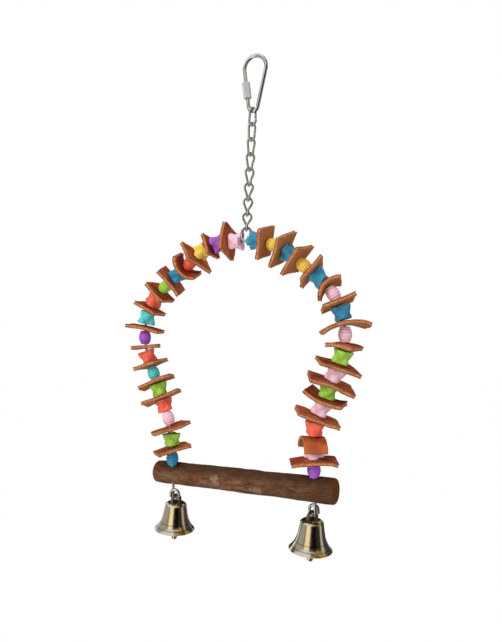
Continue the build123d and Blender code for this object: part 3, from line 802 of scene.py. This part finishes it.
def fibre_tree(material):
    """The node tree that grows fibres on a piece of leather."""
    tree = bpy.data.node_groups.new("leather_fibres", "GeometryNodeTree")
    for name, kind in FIBRE_INPUTS.items():
        tree.interface.new_socket(name, in_out="INPUT", socket_type=kind)
    tree.interface.new_socket("Fibres", in_out="OUTPUT", socket_type="NodeSocketGeometry")
    given = add(tree, "NodeGroupInput").outputs
    flesh = add(tree, "GeometryNodeInputNamedAttribute", {"Name": "flesh_side"}, data_type="FLOAT")
    cut = add(tree, "GeometryNodeInputNamedAttribute", {"Name": "cut_edge"}, data_type="FLOAT")
    rough = calculate(tree, "MAXIMUM", flesh.outputs[0], cut.outputs[0])
    density = calculate(tree, "MULTIPLY", given["Fibres per square metre"], rough)
    roots = add(tree, "GeometryNodeDistributePointsOnFaces",
                {"Mesh": given["Leather"], "Density": density, "Seed": given["Seed"]})
    least, most = (-FIBRE_LEAN, -FIBRE_LEAN, 0.0), (FIBRE_LEAN, FIBRE_LEAN, 0.0)
    lean = add(tree, "FunctionNodeRandomValue", {0: least, 1: most, "Seed": given["Seed"]},
               data_type="FLOAT_VECTOR")
    bent = add(tree, "FunctionNodeEulerToRotation", {"Euler": lean.outputs[0]})
    aim = add(tree, "FunctionNodeRotateRotation",
              {"Rotation": roots.outputs["Rotation"], "Rotate By": bent.outputs[0]}, rotation_space="LOCAL")
    size = add(tree, "FunctionNodeRandomValue",
               {2: SHORTEST_FIBRE, 3: LONGEST_FIBRE, "Seed": given["Seed"]}, data_type="FLOAT")
    straw = add(tree, "GeometryNodeMeshCone",
                {"Vertices": 3, "Radius Top": 0.0, "Radius Bottom": given["Fibre radius"],
                 "Depth": given["Fibre length"]})
    grown = add(tree, "GeometryNodeInstanceOnPoints",
                {"Points": roots.outputs["Points"], "Instance": straw.outputs["Mesh"],
                 "Rotation": aim.outputs[0], "Scale": size.outputs[1]})
    real = add(tree, "GeometryNodeRealizeInstances", {"Geometry": grown.outputs[0]})
    coloured = add(tree, "GeometryNodeSetMaterial", {"Geometry": real.outputs[0], "Material": material})
    add(tree, "NodeGroupOutput", {0: coloured.outputs[0]})
    return tree


def grow_fibres(tree):
    """Grows the fibres of every leather piece and gathers them in one mesh, because all ride on the swing."""
    values = {"Fibres per square metre": FIBRES_PER_SQUARE_MM / MM ** 2, "Fibre length": FIBRE_LENGTH,
              "Fibre radius": FIBRE_RADIUS}
    names = {item.name: item.identifier for item in tree.interface.items_tree if item.in_out == "INPUT"}
    gathered = bmesh.new()
    for seed, chip in enumerate(chips, 1):
        bed = bpy.data.objects.new("fibre_bed", chip.data)
        scene.collection.objects.link(bed)
        nap = bed.modifiers.new("nap", "NODES")
        nap.node_group = tree
        for name, value in values.items():
            nap[names[name]] = value
        nap[names["Seed"]] = seed
        bpy.context.view_layer.update()
        grown = bpy.data.meshes.new_from_object(bed.evaluated_get(bpy.context.evaluated_depsgraph_get()))
        gathered.from_mesh(grown)
        bpy.data.objects.remove(bed)
    mesh = bpy.data.meshes.new("leather_fibres")
    gathered.to_mesh(mesh)
    gathered.free()
    return bpy.data.objects.new("leather_fibres", mesh)


fibre = torn_fibre()
fibres = grow_fibres(fibre_tree(fibre))
fibres.data.materials.append(fibre)
scene.collection.objects.link(fibres)
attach(fibres, "swing")
print("fibre faces", len(fibres.data.polygons))

# %% [markdown]
# ## The perch
#
# The perch is a piece of branch with its bark left on. Bark splits along the branch, so its relief is
# stretched that way, in the mesh where it shows in the outline and in the material where it is finer. The
# upper side is darker, the right half is darker still with painted shade, two spots have scuffed pale, and
# the sawn ends show orange-brown wood.

# %% Perch
BARK_SKIN = 0.6 * MM
BARK_RUBS = 2
PERCH_THICKNESS = 21 * MM
PERCH_LENGTH = 174.5 * MM
perch_low, perch_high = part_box("perch")
perch_middle = (perch_low + perch_high) / 2
perch_tilt = atan2(perch_high.z - perch_low.z - PERCH_THICKNESS, perch_high.x - perch_low.x)
perch_axis = Vector((cos(perch_tilt), 0, sin(perch_tilt)))
# Scuffs: how far along from the middle, degrees below the camera's height, and half sizes along and round
SCUFFS = [(-20 * MM, -2, 5.5 * MM, 6.5 * MM), (19 * MM, 27, 7.5 * MM, 3.6 * MM)]
SCUFF_STRENGTH = 0.6
# Strength and size of the noises that make a scuff ragged
SCUFF_RAGS = [(0.9, 2.5 * MM), (0.5, 0.9 * MM)]
# Painted shade: how dark the right end is painted; the shade fades out towards the middle
RIGHT_END_SHADE = 0.85
KNOT_SIZE, KNOT_HEIGHT = 22 * MM, 0.45 * MM
RIDGE_SIZE, RIDGE_DEPTH = 2.6 * MM, 0.34 * MM
RIDGE_STRETCH = 0.85
# Roughness, step between layers, number of layers, offset and gain of the noise that makes the ridges
RIDGE_NOISE = (0.9, 2.1, 4, 0.9, 1.8)


def scuff_at(length, outward, place):
    """How strongly a point of the bark is scuffed pale."""
    toward = Vector((sin(AZIMUTH), -cos(AZIMUTH), 0))
    drop = atan2(-outward.z, outward.dot(toward))
    ragged = sum(strength * noise.noise(place / size) for strength, size in SCUFF_RAGS)
    patchy = 0.0
    for along, below, half_length, half_round in SCUFFS:
        lengthways = (length - along) / half_length
        roundways = (drop - radians(below)) * PERCH_THICKNESS / 2 / half_round
        away = lengthways ** 2 + roundways ** 2
        patchy = max(patchy, SCUFF_STRENGTH * (1.0 - away + ragged))
    return clamp(patchy)


def bark_piece():
    """The perch with bark relief, and with its sawn places, darker top, painted shade on the right and scuffs
    painted on.
    """
    piece = softened_copy("bark_perch", "perch", BARK_SKIN, BARK_RUBS)
    mesh = piece.data
    points, normals = per_point(mesh, "co"), per_point(mesh, "normal")
    sawn, dark_top_and_painted_shade, scuffed = np.zeros((3, len(points)))
    for index in range(len(points)):
        place, outward = Vector(points[index]), Vector(normals[index])
        offset = place - perch_middle
        length = offset.dot(perch_axis)
        sawn[index] = clamp(abs(outward.dot(perch_axis)) * 2 - 0.8)
        shaded = RIGHT_END_SHADE * clamp(length / (PERCH_LENGTH / 2))
        # Darker on the upper side, and painted shade that grows towards the right end
        dark_top_and_painted_shade[index] = clamp(outward.z * 1.5 - 0.1, shaded)
        scuffed[index] = scuff_at(length, outward, offset) * (1 - sawn[index])
        stretched = (offset - perch_axis * (RIDGE_STRETCH * length)) / RIDGE_SIZE
        knots = noise.noise(offset / KNOT_SIZE)
        ridge = noise.ridged_multi_fractal(stretched, *RIDGE_NOISE)
        depth = KNOT_HEIGHT * knots - RIDGE_DEPTH * ridge
        points[index] = place + outward * (depth * (1 - sawn[index]))
    move_points(mesh, points)
    paint(mesh, "sawn", sawn)
    paint(mesh, "dark_top_and_painted_shade", dark_top_and_painted_shade)
    paint(mesh, "scuffed", scuffed)
    return piece


perch = bark_piece()
print("perch tilt", round(perch_tilt, 4), "bark faces", len(perch.data.polygons))

# %% Bark finish
BARK_STRETCH = (0.3, 1.0, 1.0)


def branch_bark():
    """Bark of a thin branch: brown, streaked, clouded, cracked and dusty, with sawn wood at the ends."""
    material, tree, shader, place = new_material("branch_bark")
    sawn, dark_top_and_painted_shade, scuffed = [painted(tree, name) for name in ("sawn", "dark_top_and_painted_shade", "scuffed")]
    turned = add(tree, "ShaderNodeMapping", {"Vector": place, "Rotation": (0, perch_tilt, 0)}).outputs[0]
    along = add(tree, "ShaderNodeMapping", {"Vector": turned, "Scale": BARK_STRETCH}).outputs[0]
    streak = speckle(tree, along, 2.2 * MM, 6.0, 0.65)
    crack = speckle(tree, along, 1.1 * MM, 3.0)
    cloud = speckle(tree, place, 12 * MM, 5.0)
    mottle = speckle(tree, along, 5 * MM, 6.0, 0.7)
    bark = blend(tree, remap(tree, streak, 0.32, 0.68), srgb("#3E291C"), srgb("#80573C"))
    # What lies over the bark, from the lowest coat up: red-brown clouds, cracks, dust, a darker top with
    # painted shade over the right half, and scuffs
    coats = [
        (remap(tree, cloud, 0.48, 0.66, 0.0, 0.6), "#6E3C24"),
        (remap(tree, crack, 0.44, 0.32, 0.0, 0.5), "#1F1610"),
        (remap(tree, mottle, 0.5, 0.72, 0.0, 0.55), "#8D7C67"),
        # The darker upper side and the painted shade over the right half
        (calculate(tree, "MULTIPLY", dark_top_and_painted_shade, 0.74), "#39271A"),
        (calculate(tree, "MULTIPLY", scuffed, 0.68), "#A3927A"),
    ]
    for share, code in coats:
        bark = blend(tree, share, bark, srgb(code))
    wood = blend(tree, speckle(tree, place, 1.4 * MM, 3.0), srgb("#4E260A"), srgb("#784312"))
    fill(tree, shader, {
        "Base Color": blend(tree, sawn, bark, wood),
        "Roughness": 0.82,
        "Specular IOR Level": 0.1,
        "Normal": bumps(tree, streak, 0.6, 0.5 * MM),
    })
    return material


dress(perch, "perch", "swing", branch_bark())
print("bark on", perch.name)
